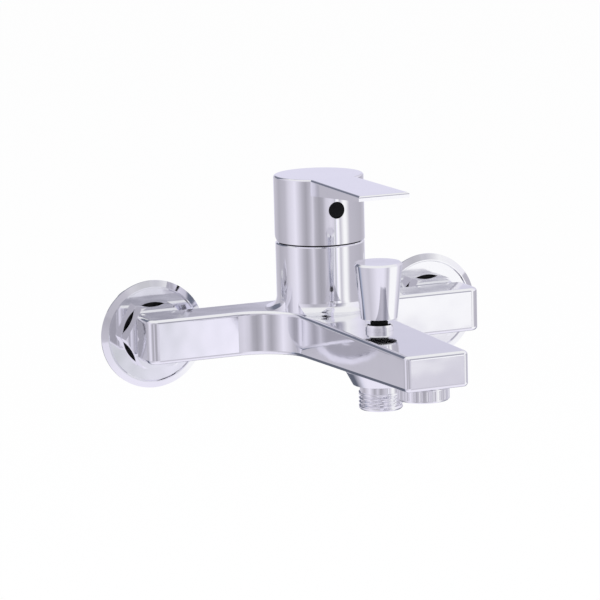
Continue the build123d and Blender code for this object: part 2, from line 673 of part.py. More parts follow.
def lever_handle():
    """One casting: the cap and the lever under one flat top, with the stem socket and screw hole."""
    solid = handle_cap() + lever_plate()
    rear, front = TOWER_Y + PLANE_MARGIN, LEVER_TIP_Y - PLANE_MARGIN
    above = [
        (0, rear, handle_top_z(rear)),
        (0, front, handle_top_z(front)),
        (0, front, HANDLE_REAR_TOP_Z + 2 * PLANE_MARGIN),
        (0, rear, HANDLE_REAR_TOP_Z + 2 * PLANE_MARGIN),
    ]
    solid = solid - extrude(make_face(Polyline(*above, close=True)), 2 * PLANE_MARGIN, both=True)
    top = solid.faces().sort_by(Axis.Z)[-1]
    solid = fillet(top.outer_wire().edges(), LEVER_EDGE)
    rear_rise = PLANE_MARGIN * tan(radians(LIFT_DEG + 0.6))
    wedge = [
        (0, TOWER_Y, HANDLE_BOTTOM_Z),
        (0, TOWER_Y + PLANE_MARGIN, HANDLE_BOTTOM_Z + rear_rise),
        (0, TOWER_Y + PLANE_MARGIN, HANDLE_BOTTOM_Z - 2),
        (0, TOWER_Y, HANDLE_BOTTOM_Z - 2),
    ]
    solid = solid - extrude(make_face(Polyline(*wedge, close=True)), PLANE_MARGIN, both=True)
    half = STEM_SIDE / 2 + FIT_GAP
    socket_top = STEM_TOP_Z + FIT_GAP
    socket = block(-half, half, TOWER_Y - half, TOWER_Y + half, HANDLE_BOSS_BOTTOM_Z - 1, socket_top)
    front_y = TOWER_Y - HANDLE_RADIUS
    plug_floor_y = front_y + PLUG_DEPTH + PLUG_RECESS
    plug_hole = rod_between((0, front_y - 2, PLUG_Z), (0, plug_floor_y, PLUG_Z), PLUG_RADIUS + FIT_GAP)
    screw_hole = rod_between((0, front_y, PLUG_Z), (0, TOWER_Y, PLUG_Z), SET_SCREW_RADIUS + FIT_GAP)
    return solid - socket - plug_hole - screw_hole


def indicator_plug():
    """Push-in plug that closes the screw hole, a little below the handle's surface."""
    face_y = TOWER_Y - HANDLE_RADIUS + PLUG_RECESS
    disc = rod_between((0, face_y, PLUG_Z), (0, face_y + PLUG_DEPTH, PLUG_Z), PLUG_RADIUS)
    rim = disc.edges().filter_by(GeomType.CIRCLE).sort_by(Axis.Y)[0]
    return fillet(rim, PLUG_RECESS)


def handle_set_screw():
    """Grub screw with a hexagon socket, tightened on the stem."""
    point_y = TOWER_Y - STEM_SIDE / 2 - 2 * FIT_GAP
    head_y = TOWER_Y - HANDLE_RADIUS + PLUG_RECESS + PLUG_DEPTH + 2.0
    shank = rod_between((0, point_y, PLUG_Z), (0, head_y, PLUG_Z), SET_SCREW_RADIUS)
    key_radius = SET_SCREW_RADIUS / 2
    key = extrude(RegularPolygon(key_radius, 6), SET_SCREW_RADIUS + 1)
    return shank - Pos(0, head_y - 1, PLUG_Z) * Rot(-90, 0, 0) * key


# Diverter


def diverter_bonnet():
    """Chromed collar screwed into the spout, which guides the diverter rod."""
    shoulder = top_z(DIVERTER_Y) - DIVERTER_RECESS_DEPTH
    return turned(
        [
            (ROD_RADIUS + RUN_GAP, BONNET_BOTTOM_Z),
            (DIVERTER_BORE - FIT_GAP, BONNET_BOTTOM_Z),
            (DIVERTER_BORE - FIT_GAP, shoulder),
            (BONNET_COLLAR_RADIUS, shoulder),
            (BONNET_COLLAR_RADIUS, BONNET_TOP_Z - BONNET_EDGE),
            (BONNET_COLLAR_RADIUS - 0.3 * BONNET_EDGE, BONNET_TOP_Z - 0.3 * BONNET_EDGE),
            (BONNET_COLLAR_RADIUS - BONNET_EDGE, BONNET_TOP_Z),
            (ROD_RADIUS + RUN_GAP, BONNET_TOP_Z),
        ],
        0,
        DIVERTER_Y,
    )


def diverter_seal():
    """Rubber ring round the rod on top of the bonnet, which the knob covers."""
    low = BONNET_TOP_Z + FIT_GAP
    high = low + SEAL_RING_HEIGHT
    return turned(
        [
            (ROD_RADIUS + RUN_GAP, low),
            (SEAL_RING_RADIUS, low),
            (SEAL_RING_RADIUS, high - SEAL_RING_EDGE),
            (SEAL_RING_RADIUS - SEAL_RING_EDGE, high),
            (ROD_RADIUS + RUN_GAP, high),
        ],
        0,
        DIVERTER_Y,
    )


def diverter_knob():
    """Tapered pull knob, wider at its top and hollow underneath, with a blind socket for the rod."""
    hollow_top = KNOB_BOTTOM_Z + KNOB_HOLLOW_DEPTH
    socket_top = KNOB_BOTTOM_Z + KNOB_SOCKET_DEPTH
    return turned(
        [
            (KNOB_HOLLOW_RADIUS, KNOB_BOTTOM_Z),
            (KNOB_BOTTOM_RADIUS - KNOB_BOTTOM_EDGE, KNOB_BOTTOM_Z),
            (KNOB_BOTTOM_RADIUS, KNOB_BOTTOM_Z + KNOB_BOTTOM_EDGE),
            (KNOB_TOP_RADIUS, KNOB_TOP_Z - KNOB_EDGE),
            (KNOB_TOP_RADIUS - KNOB_EDGE, KNOB_TOP_Z),
            (0, KNOB_TOP_Z),
            (0, socket_top),
            (ROD_RADIUS + FIT_GAP, socket_top),
            (ROD_RADIUS + FIT_GAP, hollow_top),
            (KNOB_HOLLOW_RADIUS, hollow_top),
        ],
        0,
        DIVERTER_Y,
    )


def diverter_rod():
    """Rod from the knob to the valve, with the disc that carries the seals."""
    disc_low = PISTON_BOTTOM_Z + PISTON_SEAL_HEIGHT
    disc_high = disc_low + PISTON_DISC_HEIGHT
    top = KNOB_BOTTOM_Z + KNOB_SOCKET_DEPTH - FIT_GAP
    return turned(
        [
            (0, PISTON_BOTTOM_Z),
            (ROD_RADIUS, PISTON_BOTTOM_Z),
            (ROD_RADIUS, disc_low),
            (PISTON_SEAL_RADIUS - 0.5, disc_low),
            (PISTON_SEAL_RADIUS - 0.5, disc_high),
            (ROD_RADIUS, disc_high),
            (ROD_RADIUS, top),
            (0, top),
        ],
        0,
        DIVERTER_Y,
    )


def valve_seal(low):
    return pipe(PISTON_SEAL_RADIUS, ROD_RADIUS + FIT_GAP, low, low + PISTON_SEAL_HEIGHT, 0, DIVERTER_Y)


def diverter_spring():
    """Coil that pushes the diverter back down, between the upper seal and the bonnet."""
    low = PISTON_TOP_Z + SPRING_WIRE / 2 + FIT_GAP
    high = BONNET_BOTTOM_Z - SPRING_WIRE / 2 - FIT_GAP
    path = Helix((high - low) / SPRING_TURNS, high - low, SPRING_RADIUS)
    start = Plane(origin=path @ 0, z_dir=path % 0)
    return Pos(0, DIVERTER_Y, low) * sweep(start * Circle(SPRING_WIRE / 2), path, is_frenet=True)


def shower_nipple():
    """Threaded outlet for the shower hose, screwed into the boss."""
    neck_top = BOSS_BOTTOM_Z - NIPPLE_WASHER_HEIGHT
    thread_top = neck_top - NIPPLE_NECK_HEIGHT
    return turned(
        [
            (NIPPLE_BORE, CHAMBER_BOTTOM_Z),
            (NIPPLE_BORE, NIPPLE_BOTTOM_Z),
            *reversed(ring_thread(G_HALF_RADIUS, NIPPLE_BOTTOM_Z, thread_top)),
            (NIPPLE_NECK_RADIUS, thread_top),
            (NIPPLE_NECK_RADIUS, neck_top),
            (NIPPLE_SPIGOT_RADIUS, neck_top),
            (NIPPLE_SPIGOT_RADIUS, CHAMBER_BOTTOM_Z),
        ],
        0,
        DIVERTER_Y,
    )


def nipple_washer():
    low = BOSS_BOTTOM_Z - NIPPLE_WASHER_HEIGHT
    return pipe(NIPPLE_NECK_RADIUS, NIPPLE_SPIGOT_RADIUS + FIT_GAP, low, BOSS_BOTTOM_Z, 0, DIVERTER_Y)


# Aerator


def aerator_shoulder_z():
    """Top of the aerator's wide rim, just below the spout's underside."""
    return bottom_z(AERATOR_Y + AERATOR_RADIUS) - FIT_GAP


def aerator_housing():
    """Fluted ring with a threaded neck, screwed up into the spout."""
    shoulder = aerator_shoulder_z()
    bore = AERATOR_NECK_RADIUS - AERATOR_WALL
    ring = turned(
        [
            (bore - AERATOR_LIP, AERATOR_BOTTOM_Z),
            (AERATOR_RADIUS - AERATOR_EDGE, AERATOR_BOTTOM_Z),
            (AERATOR_RADIUS, AERATOR_BOTTOM_Z + AERATOR_EDGE),
            (AERATOR_RADIUS, shoulder),
            (AERATOR_NECK_RADIUS, shoulder),
            (AERATOR_NECK_RADIUS, AERATOR_BORE_TOP_Z - AERATOR_WASHER_HEIGHT),
            (bore, AERATOR_BORE_TOP_Z - AERATOR_WASHER_HEIGHT),
            (bore, AERATOR_BOTTOM_Z + AERATOR_LIP),
            (bore - AERATOR_LIP, AERATOR_BOTTOM_Z + AERATOR_LIP),
        ],
        0,
        AERATOR_Y,
    )
    for n in range(AERATOR_FLUTES):
        turn = 2 * pi * n / AERATOR_FLUTES
        reach = AERATOR_RADIUS + AERATOR_FLUTE_RADIUS - AERATOR_FLUTE_DEPTH
        x, y = reach * cos(turn), AERATOR_Y + reach * sin(turn)
        low, high = AERATOR_BOTTOM_Z + 2 * AERATOR_EDGE, shoulder - AERATOR_EDGE
        ring = ring - pipe(AERATOR_FLUTE_RADIUS, 0, low, high, x, y)
    return ring


def aerator_insert():
    """Plastic jet plate with a skirt, held on the housing's lip."""
    radius = AERATOR_NECK_RADIUS - AERATOR_WALL - FIT_GAP
    low = AERATOR_BOTTOM_Z + AERATOR_LIP
    high = AERATOR_BORE_TOP_Z - AERATOR_WASHER_HEIGHT
    plate_low = low + INSERT_SKIRT
    plate_high = plate_low + INSERT_PLATE
    body = turned(
        [
            (0, plate_low),
            (radius - INSERT_WALL, plate_low),
            (radius - INSERT_WALL, low),
            (radius, low),
            (radius, high),
            (radius - INSERT_WALL, high),
            (radius - INSERT_WALL, plate_high),
            (0, plate_high),
        ],
        0,
        AERATOR_Y,
    )
    for ring, count in JET_RINGS:
        for n in range(count):
            turn = 2 * pi * n / count
            x, y = ring * cos(turn), AERATOR_Y + ring * sin(turn)
            body = body - pipe(JET_HOLE_RADIUS, 0, plate_low - 1, plate_high + 1, x, y)
    return body


def aerator_washer():
    bore = AERATOR_NECK_RADIUS - AERATOR_WALL - INSERT_WALL
    low = AERATOR_BORE_TOP_Z - AERATOR_WASHER_HEIGHT
    return pipe(AERATOR_NECK_RADIUS, bore, low, AERATOR_BORE_TOP_Z, 0, AERATOR_Y)


def all_parts():
    """Every node's name and shape."""
    parts = {
        "mixer_body": mixer_body(),
        "cartridge_base": cartridge_base(),
        "fixed_ceramic_disc": fixed_disc(),
        "moving_ceramic_disc": moving_disc(),
        "disc_carrier": disc_carrier(),
        "cartridge_housing": cartridge_housing(),
        "cartridge_ring_nut": ring_nut(),
        "dome_cap": dome_cap(),
        "cartridge_rotor": rotor(),
        "pivot_pin": pivot_pin(),
        "lever_stem": lever_stem(),
        "lever_handle": lever_handle(),
        "indicator_plug": indicator_plug(),
        "handle_set_screw": handle_set_screw(),
        "diverter_bonnet": diverter_bonnet(),
        "diverter_seal_ring": diverter_seal(),
        "diverter_knob": diverter_knob(),
        "diverter_rod": diverter_rod(),
        "lower_valve_seal": valve_seal(PISTON_BOTTOM_Z),
        "upper_valve_seal": valve_seal(PISTON_TOP_Z - PISTON_SEAL_HEIGHT),
        "diverter_spring": diverter_spring(),
        "shower_nipple": shower_nipple(),
        "nipple_washer": nipple_washer(),
        "aerator_housing": aerator_housing(),
        "aerator_insert": aerator_insert(),
        "aerator_washer": aerator_washer(),
    }
    for port, (x, y) in zip(("hot", "cold", "mixed"), port_places()):
        parts[f"port_seal_{port}"] = port_seal(x, y)
    for side, x in (("left", -INLET_SPACING / 2), ("right", INLET_SPACING / 2)):
        parts[f"inlet_sleeve_{side}"] = inlet_sleeve(x)
        parts[f"inlet_gasket_{side}"] = inlet_gasket(x)
        parts[f"union_nut_{side}"] = union_nut(x)
        parts[f"eccentric_union_{side}"] = eccentric_union(x)
        parts[f"wall_flange_{side}"] = wall_flange(x)
    return parts


os.makedirs("parts", exist_ok=True)
for name, shape in all_parts().items():
    export_step(shape, f"parts/{name}.step")
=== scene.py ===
"""Wall mounted bath faucet: finishes, threads, studio and camera. Metres, in the part's own frame."""

import json
from math import cos, degrees, pi, radians, sin, tau

import bmesh
import bpy
from mathutils import Matrix, Vector


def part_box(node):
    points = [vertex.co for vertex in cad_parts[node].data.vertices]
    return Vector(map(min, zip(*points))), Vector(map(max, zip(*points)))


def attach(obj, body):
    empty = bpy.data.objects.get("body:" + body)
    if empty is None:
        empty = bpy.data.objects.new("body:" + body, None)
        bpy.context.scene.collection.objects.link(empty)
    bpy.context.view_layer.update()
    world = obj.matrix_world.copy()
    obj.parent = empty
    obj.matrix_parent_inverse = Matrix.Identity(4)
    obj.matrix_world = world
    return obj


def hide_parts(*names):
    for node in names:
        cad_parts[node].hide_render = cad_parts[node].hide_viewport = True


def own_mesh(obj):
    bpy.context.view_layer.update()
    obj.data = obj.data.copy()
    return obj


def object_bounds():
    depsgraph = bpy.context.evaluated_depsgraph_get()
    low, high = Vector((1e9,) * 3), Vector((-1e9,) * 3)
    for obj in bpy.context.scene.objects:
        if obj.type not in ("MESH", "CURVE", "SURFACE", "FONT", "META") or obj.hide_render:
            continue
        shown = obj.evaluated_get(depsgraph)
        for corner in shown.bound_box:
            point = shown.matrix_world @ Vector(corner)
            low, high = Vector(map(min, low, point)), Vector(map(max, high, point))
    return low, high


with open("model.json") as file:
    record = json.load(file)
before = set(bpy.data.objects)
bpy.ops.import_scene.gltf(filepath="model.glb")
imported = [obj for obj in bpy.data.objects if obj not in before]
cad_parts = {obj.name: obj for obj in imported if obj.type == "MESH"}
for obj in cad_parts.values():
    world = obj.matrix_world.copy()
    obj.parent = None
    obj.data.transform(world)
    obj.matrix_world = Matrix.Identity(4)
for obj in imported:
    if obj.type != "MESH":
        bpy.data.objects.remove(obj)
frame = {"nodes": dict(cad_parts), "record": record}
cad_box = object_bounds()

# Camera, as the photograph was taken
IMAGE_SIDE = 600  # pixels
CAMERA_AZIMUTH = radians(22.52)  # to the left of straight in front
CAMERA_ELEVATION = radians(10.61)
CAMERA_ROLL = radians(-1.47)
CAMERA_DISTANCE = 1.471
AIM_POINT = Vector((0.0, -0.060, 0.020))
AIM_PIXEL = (337.85, 299.38)  # where the aim point is in the picture
AXIS_PIXEL = (308.7, 297.52)  # where the lens looks straight ahead
PIXELS_PER_METRE = 2050.0  # at the aim point
SENSOR_WIDTH = 36.0  # millimetres
CLIP_START = 0.05
CLIP_END = 50.0

MILLIMETRE = 0.001

# Thread of the shower outlet
THREAD_PITCH = 0.001814
THREAD_DEPTH = 0.0009
THREAD_STEPS = 72  # around one turn
THREAD_ROWS_PER_PITCH = 8
GROOVE_MIDDLE = 1.6  # share of the depth in mid groove, before it is cut off at 1 for a flat root
GROOVE_SLOPE = 4.4  # share of the depth lost for each pitch away from there

# Shower outlet, apart from its thread
NIPPLE_BORE_RADIUS = 0.006
NIPPLE_SPIGOT_RADIUS = 0.009
NIPPLE_NECK_RADIUS = 0.0099
NIPPLE_NECK_HEIGHT = 0.003
NIPPLE_EDGE = 0.0006
NIPPLE_SHARP_ANGLE = radians(35)

# Faces painted with the dark bare casting as painted shade: limits on their normals, and on their distance
# from the axis
KNOB_FACES_DOWN = -0.9
KNOB_FACES_INWARD = -0.2
DOME_FACES_SIDEWAYS = 0.3
FLANGE_FACES_WALL = 0.5
FLANGE_SHADE_RADIUS = 0.0163  # of the recess behind the union nut

# Where a pattern's dark and light tones begin
PATTERN_DARK = 0.3
PATTERN_LIGHT = 0.7

# Stage
FLOOR_DROP = 0.22  # below the lowest point of the faucet
FLOOR_SIDE = 12.0
FLOOR_WHITE = 0.95  # share of plain white that the camera sees in the floor


# Materials


def new_material(name, colour, metallic, roughness):
    """A shader with its plain values set, and its node tree to add detail to."""
    material = bpy.data.materials.new(name)
    material.use_nodes = True
    tree = material.node_tree
    shader = tree.nodes["Principled BSDF"]
    shader.inputs["Base Color"].default_value = (*colour, 1)
    shader.inputs["Metallic"].default_value = metallic
    shader.inputs["Roughness"].default_value = roughness
    return material, tree, shader


def add_noise(tree, scale, detail=4.0, stretch=(1, 1, 1)):
    """Noise over the piece's own coordinates; a stretch draws it out along an axis."""
    coordinates = tree.nodes.new("ShaderNodeTexCoord")
    mapping = tree.nodes.new("ShaderNodeMapping")
    mapping.inputs["Scale"].default_value = stretch
    noise = tree.nodes.new("ShaderNodeTexNoise")
    noise.inputs["Scale"].default_value = scale
    noise.inputs["Detail"].default_value = detail
    tree.links.new(coordinates.outputs["Object"], mapping.inputs["Vector"])
    tree.links.new(mapping.outputs["Vector"], noise.inputs["Vector"])
    return noise.outputs["Fac"]


def vary_roughness(tree, shader, fac, low, high):
    """Roughness between two values, by a pattern."""
    spread = tree.nodes.new("ShaderNodeMapRange")
    spread.inputs["To Min"].default_value = low
    spread.inputs["To Max"].default_value = high
    tree.links.new(fac, spread.inputs["Value"])
    tree.links.new(spread.outputs["Result"], shader.inputs["Roughness"])


def vary_colour(tree, shader, fac, dark, light):
    """Base colour between two tones, by a pattern."""
    ramp = tree.nodes.new("ShaderNodeValToRGB")
    ramp.color_ramp.elements[0].position = PATTERN_DARK
    ramp.color_ramp.elements[1].position = PATTERN_LIGHT
    ramp.color_ramp.elements[0].color = (*dark, 1)
    ramp.color_ramp.elements[1].color = (*light, 1)
    tree.links.new(fac, ramp.inputs["Fac"])
    tree.links.new(ramp.outputs["Color"], shader.inputs["Base Color"])


def add_bump(tree, shader, fac, strength, distance):
    """Fine relief from a pattern."""
    bump = tree.nodes.new("ShaderNodeBump")
    bump.inputs["Strength"].default_value = strength
    bump.inputs["Distance"].default_value = distance
    tree.links.new(fac, bump.inputs["Height"])
    tree.links.new(bump.outputs["Normal"], shader.inputs["Normal"])


def make_chrome():
    """Bright plate over polished brass: a cool tone, a slight wave from polishing and a fine haze."""
    material, tree, shader = new_material("chrome", colour=(0.88, 0.88, 0.91), metallic=1.0, roughness=0.07)
    vary_roughness(tree, shader, add_noise(tree, scale=140.0), low=0.05, high=0.09)
    tone = add_noise(tree, scale=30.0, detail=2.0)
    vary_colour(tree, shader, tone, dark=(0.865, 0.865, 0.9), light=(0.89, 0.89, 0.915))
    add_bump(tree, shader, add_noise(tree, scale=60.0, detail=1.0), strength=0.2, distance=0.0004)
    return material


def make_brass():
    """Bare turned brass, with a grain drawn out by the tool."""
    material, tree, shader = new_material("brass", colour=(0.72, 0.56, 0.28), metallic=1.0, roughness=0.25)
    grain = add_noise(tree, scale=400.0, stretch=(1, 1, 8))
    vary_roughness(tree, shader, grain, low=0.18, high=0.38)
    tone = add_noise(tree, scale=120.0)
    vary_colour(tree, shader, tone, dark=(0.62, 0.46, 0.21), light=(0.76, 0.6, 0.32))
    return material


def make_steel():
    """Drawn or ground stainless steel, with a long grain."""
    material, tree, shader = new_material("steel", colour=(0.6, 0.6, 0.6), metallic=1.0, roughness=0.28)
    grain = add_noise(tree, scale=600.0, stretch=(1, 1, 6))
    vary_roughness(tree, shader, grain, low=0.2, high=0.4)
    tone = add_noise(tree, scale=200.0)
    vary_colour(tree, shader, tone, dark=(0.52, 0.52, 0.53), light=(0.64, 0.64, 0.64))
    return material


def make_moulded(name, dark, light, low, high, grain, specular=0.5):
    """Plastic, rubber, ceramic or a raw casting, with a mottled tone and a fine grain."""
    material, tree, shader = new_material(name, colour=light, metallic=0.0, roughness=low)
    shader.inputs["Specular IOR Level"].default_value = specular
    vary_roughness(tree, shader, add_noise(tree, scale=500.0), low, high)
    vary_colour(tree, shader, add_noise(tree, scale=220.0), dark, light)
    add_bump(tree, shader, add_noise(tree, scale=1500.0), strength=grain, distance=0.0001)
    return material


MATERIALS = {
    "chrome": make_chrome(),
    "brass": make_brass(),
    "steel": make_steel(),
    "black_plastic": make_moulded(
        "black_plastic",
        dark=(0.004, 0.004, 0.005),
        light=(0.007, 0.007, 0.008),
        low=0.3,
        high=0.45,
        grain=0.1,
        specular=0.1,
    ),
    "white_plastic": make_moulded(
        "white_plastic",
        dark=(0.72, 0.72, 0.7),
        light=(0.8, 0.8, 0.78),
        low=0.4,
        high=0.55,
        grain=0.15,
    ),
    "grey_plastic": make_moulded(
        "grey_plastic",
        dark=(0.28, 0.3, 0.33),
        light=(0.35, 0.37, 0.4),
        low=0.45,
        high=0.6,
        grain=0.2,
    ),
    "ceramic": make_moulded(
        "ceramic",
        dark=(0.82, 0.81, 0.78),
        light=(0.88, 0.87, 0.84),
        low=0.15,
        high=0.25,
        grain=0.05,
    ),
    # This dark casting is also painted on the knob's hollow, the dome cap's gap and the flange recesses as
    # painted shade
    "bare_casting": make_moulded(
        "bare_casting",
        dark=(0.006, 0.006, 0.007),
        light=(0.016, 0.016, 0.018),
        low=0.6,
        high=0.8,
        grain=0.4,
        specular=0.15,
    ),
    "rubber": make_moulded(
        "rubber",
        dark=(0.006, 0.006, 0.007),
        light=(0.012, 0.012, 0.013),
        low=0.6,
        high=0.8,
        grain=0.3,
        specular=0.15,
    ),
}


def finish_cad_nodes():
    """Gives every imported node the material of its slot."""
    for entry in frame["record"]["subparts"]:
        node = frame["nodes"][entry["node"]]
        node.data.materials.clear()
        node.data.materials.append(MATERIALS[entry["material_slot"]])


def paint_shade_on_faces(name, is_shaded):
    """Paints some faces of a node with the dark bare casting as painted shade, chosen by their centre and
    normal.
    """
    mesh = frame["nodes"][name].data
    mesh.materials.append(MATERIALS["bare_casting"])
    shade_index = len(mesh.materials) - 1
    for polygon in mesh.polygons:
        if is_shaded(polygon.center, polygon.normal):
            polygon.material_index = shade_index


def shade_knob_underside():
    """Painted shade: the knob's hollow underside gets the dark bare casting, where shade falls."""
    low, high = (Vector(corner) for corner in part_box("diverter_knob"))
    middle = (low + high) / 2

    def underneath(centre, normal):
        outward = Vector((centre.x - middle.x, centre.y - middle.y, 0))
        inward = normal.dot(outward.normalized()) < KNOB_FACES_INWARD
        return inward or normal.z < KNOB_FACES_DOWN

    paint_shade_on_faces("diverter_knob", underneath)


def shade_dome_gap():
    """Painted shade: the cap's upright faces get the dark bare casting, for the shadow in the gap under the
    handle.
    """
    paint_shade_on_faces("dome_cap", lambda centre, normal: abs(normal.z) < DOME_FACES_SIDEWAYS)


def shade_flange_recess(name):
    """Painted shade: the recess behind a wall flange's nut, and the flange's back against the wall, get the
    dark bare casting.
    """
    low, high = (Vector(corner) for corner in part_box(name))
    middle = (low + high) / 2

    def behind(centre, normal):
        from_axis = Vector((centre.x - middle.x, 0, centre.z - middle.z)).length
        return from_axis < FLANGE_SHADE_RADIUS or normal.y > FLANGE_FACES_WALL

    paint_shade_on_faces(name, behind)


# Shower outlet


def thread_rows(top, bottom):
    """Heights down a threaded stretch, without its two ends."""
    count = int((top - bottom) / THREAD_PITCH * THREAD_ROWS_PER_PITCH)
    return [top + (bottom - top) * k / count for k in range(1, count)]


def groove_depth(turn, height, top, bottom):
    """Depth of a helical thread at a place, running out at both ends."""
    phase = ((top - height) / THREAD_PITCH + turn) % 1.0
    depth = max(0.0, min(1.0, GROOVE_MIDDLE - abs(phase - 0.5) * GROOVE_SLOPE))
    fade = min(1.0, (top - height) / THREAD_PITCH, (height - bottom) / THREAD_PITCH)
    return THREAD_DEPTH * depth * max(0.0, fade)


def make_nipple():
    """Shower outlet with a helical thread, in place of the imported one's rings."""
    mount = next(m for m in frame["record"]["mounts"] if m["name"] == "shower_outlet")
    x, y, bottom = mount["pos_m"]
    radius = mount["dims"]["r_mm"] * MILLIMETRE
    thread_top = bottom + mount["dims"]["length_mm"] * MILLIMETRE
    neck_top = thread_top + NIPPLE_NECK_HEIGHT
    spigot_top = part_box("shower_nipple")[1][2]
    thread_low = bottom + NIPPLE_EDGE
    plain = [
        (NIPPLE_BORE_RADIUS, bottom),
        (NIPPLE_BORE_RADIUS, spigot_top),
        (NIPPLE_SPIGOT_RADIUS, spigot_top),
        (NIPPLE_SPIGOT_RADIUS, neck_top),
        (NIPPLE_NECK_RADIUS, neck_top),
        (NIPPLE_NECK_RADIUS, thread_top),
        (radius, thread_top),
    ]
    threaded = [(radius, height) for height in thread_rows(thread_top, thread_low)]
    end = [(radius, thread_low), (radius - NIPPLE_EDGE, bottom)]
    mesh = bmesh.new()
    rings = []
    for index, (r, height) in enumerate(plain + threaded + end):
        cut = len(plain) <= index < len(plain) + len(threaded)
        ring = []
        for step in range(THREAD_STEPS):
            turn = step / THREAD_STEPS
            reach = r - groove_depth(turn, height, thread_top, thread_low) if cut else r
            place = (x + reach * cos(turn * tau), y + reach * sin(turn * tau), height)
            ring.append(mesh.verts.new(place))
        rings.append(ring)
    for upper, lower in zip(rings, rings[1:] + rings[:1]):
        for step in range(THREAD_STEPS):
            after = (step + 1) % THREAD_STEPS
            mesh.faces.new((upper[step], lower[step], lower[after], upper[after]))
    bmesh.ops.recalc_face_normals(mesh, faces=mesh.faces)
    data = bpy.data.meshes.new("threaded_nipple")
    mesh.to_mesh(data)
    mesh.free()
    data.shade_smooth()
    data.set_sharp_from_angle(angle=NIPPLE_SHARP_ANGLE)
    data.materials.append(MATERIALS["chrome"])
    piece = bpy.data.objects.new("threaded_nipple", data)
    bpy.context.scene.collection.objects.link(piece)
    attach(piece, "faucet")
    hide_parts("shower_nipple")


# Spring


def make_spring():
    """Diverter spring: a copy of the imported one, with its own mesh, attached to the faucet's body."""
    data = frame["nodes"]["diverter_spring"].data.copy()
    piece = bpy.data.objects.new("valve_spring", data)
    bpy.context.scene.collection.objects.link(piece)
    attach(piece, "faucet")
    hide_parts("diverter_spring")
    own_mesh(piece)


# Stage


def make_floor():
    """Pale floor well below the faucet, which shows its soft shadow and is white to the camera."""
    low = cad_box[0][2] - FLOOR_DROP
    bpy.ops.mesh.primitive_plane_add(size=FLOOR_SIDE, location=(0, 0, low))
    floor = bpy.context.object
    floor.name = "floor"
    material, tree, shader = new_material("floor", colour=(0.9, 0.9, 0.91), metallic=0.0, roughness=0.8)
    vary_roughness(tree, shader, add_noise(tree, scale=3.0), low=0.75, high=0.85)
    light_path = tree.nodes.new("ShaderNodeLightPath")
    white = tree.nodes.new("ShaderNodeEmission")
    share = tree.nodes.new("ShaderNodeMath")
    share.operation = "MULTIPLY"
    share.inputs[1].default_value = FLOOR_WHITE
    mix = tree.nodes.new("ShaderNodeMixShader")
    tree.links.new(light_path.outputs["Is Camera Ray"], share.inputs[0])
    tree.links.new(share.outputs["Value"], mix.inputs["Fac"])
    tree.links.new(shader.outputs["BSDF"], mix.inputs[1])
    tree.links.new(white.outputs["Emission"], mix.inputs[2])
    tree.links.new(mix.outputs["Shader"], tree.nodes["Material Output"].inputs["Surface"])
    floor.data.materials.append(material)
    floor.visible_glossy = False


def fill_ramp(ramp, stops):
    """Sets a colour ramp's stops: (place, colour)."""
    while len(ramp.elements) > 1:
        ramp.elements.remove(ramp.elements[-1])
    for index, (place, colour) in enumerate(stops):
        element = ramp.elements[0] if index == 0 else ramp.elements.new(place)
        element.position = place
        element.color = (*colour, 1)


def studio(*stops):
    """Ramp of what stands round at one height: (degrees right of the camera, brightness, tint)."""
    camera_bearing = -degrees(CAMERA_AZIMUTH)
    ramp = []
    for bearing, grey, tint in stops:
        place = ((bearing + camera_bearing) / 360 + 0.5) % 1.0
        ramp.append((place, tuple(grey * t for t in tint)))
    return sorted(ramp)


# Tints, and the light on what isn't polished
LILAC = (1.0, 0.97, 1.09)
VIOLET = (1.0, 0.98, 1.16)
BLUE = (0.92, 1.0, 1.3)
SKY = (0.97, 1.01, 1.05)
WHITE = (1.0, 1.0, 1.0)
PLAIN_LIGHT = (0.8, 0.8, 0.82)
# Straight below and straight above, the same all round
STUDIO_GROUND = studio((0, 0.92, LILAC))
STUDIO_OVERHEAD = studio((0, 0.95, WHITE))
# Below the faucet: dark behind it and bright on the right
STUDIO_LOW = studio(
    (-172, 0.16, BLUE),
    (-150, 0.14, BLUE),
    (-110, 0.15, BLUE),
    (-99, 0.45, BLUE),
    (-90, 0.62, LILAC),
    (-72, 0.68, LILAC),
    (-50, 0.62, LILAC),
    (-32, 0.72, LILAC),
    (-5, 0.88, LILAC),
    (25, 0.9, LILAC),
    (38, 0.76, LILAC),
    (46, 0.6, LILAC),
    (53, 0.7, LILAC),
    (63, 1.05, WHITE),
    (98, 1.05, WHITE),
    (113, 0.8, LILAC),
    (130, 0.66, LILAC),
    (150, 0.3, BLUE),
    (172, 0.16, BLUE),
)
# Just below level: a panel on the left and two on the right
STUDIO_SILL = studio(
    (-172, 0.66, VIOLET),
    (-134, 0.6, LILAC),
    (-105, 0.48, LILAC),
    (-64, 0.9, LILAC),
    (-34, 0.42, LILAC),
    (-17, 0.7, LILAC),
    (0, 0.4, LILAC),
    (20, 0.6, LILAC),
    (36, 0.66, LILAC),
    (40.5, 0.58, SKY),
    (41.7, 0.6, SKY),
    (42.5, 1.04, LILAC),
    (45.2, 1.04, LILAC),
    (46.4, 0.7, LILAC),
    (50, 0.7, LILAC),
    (65, 1, WHITE),
    (76, 1, WHITE),
    (92, 0.56, LILAC),
    (172, 0.66, VIOLET),
)
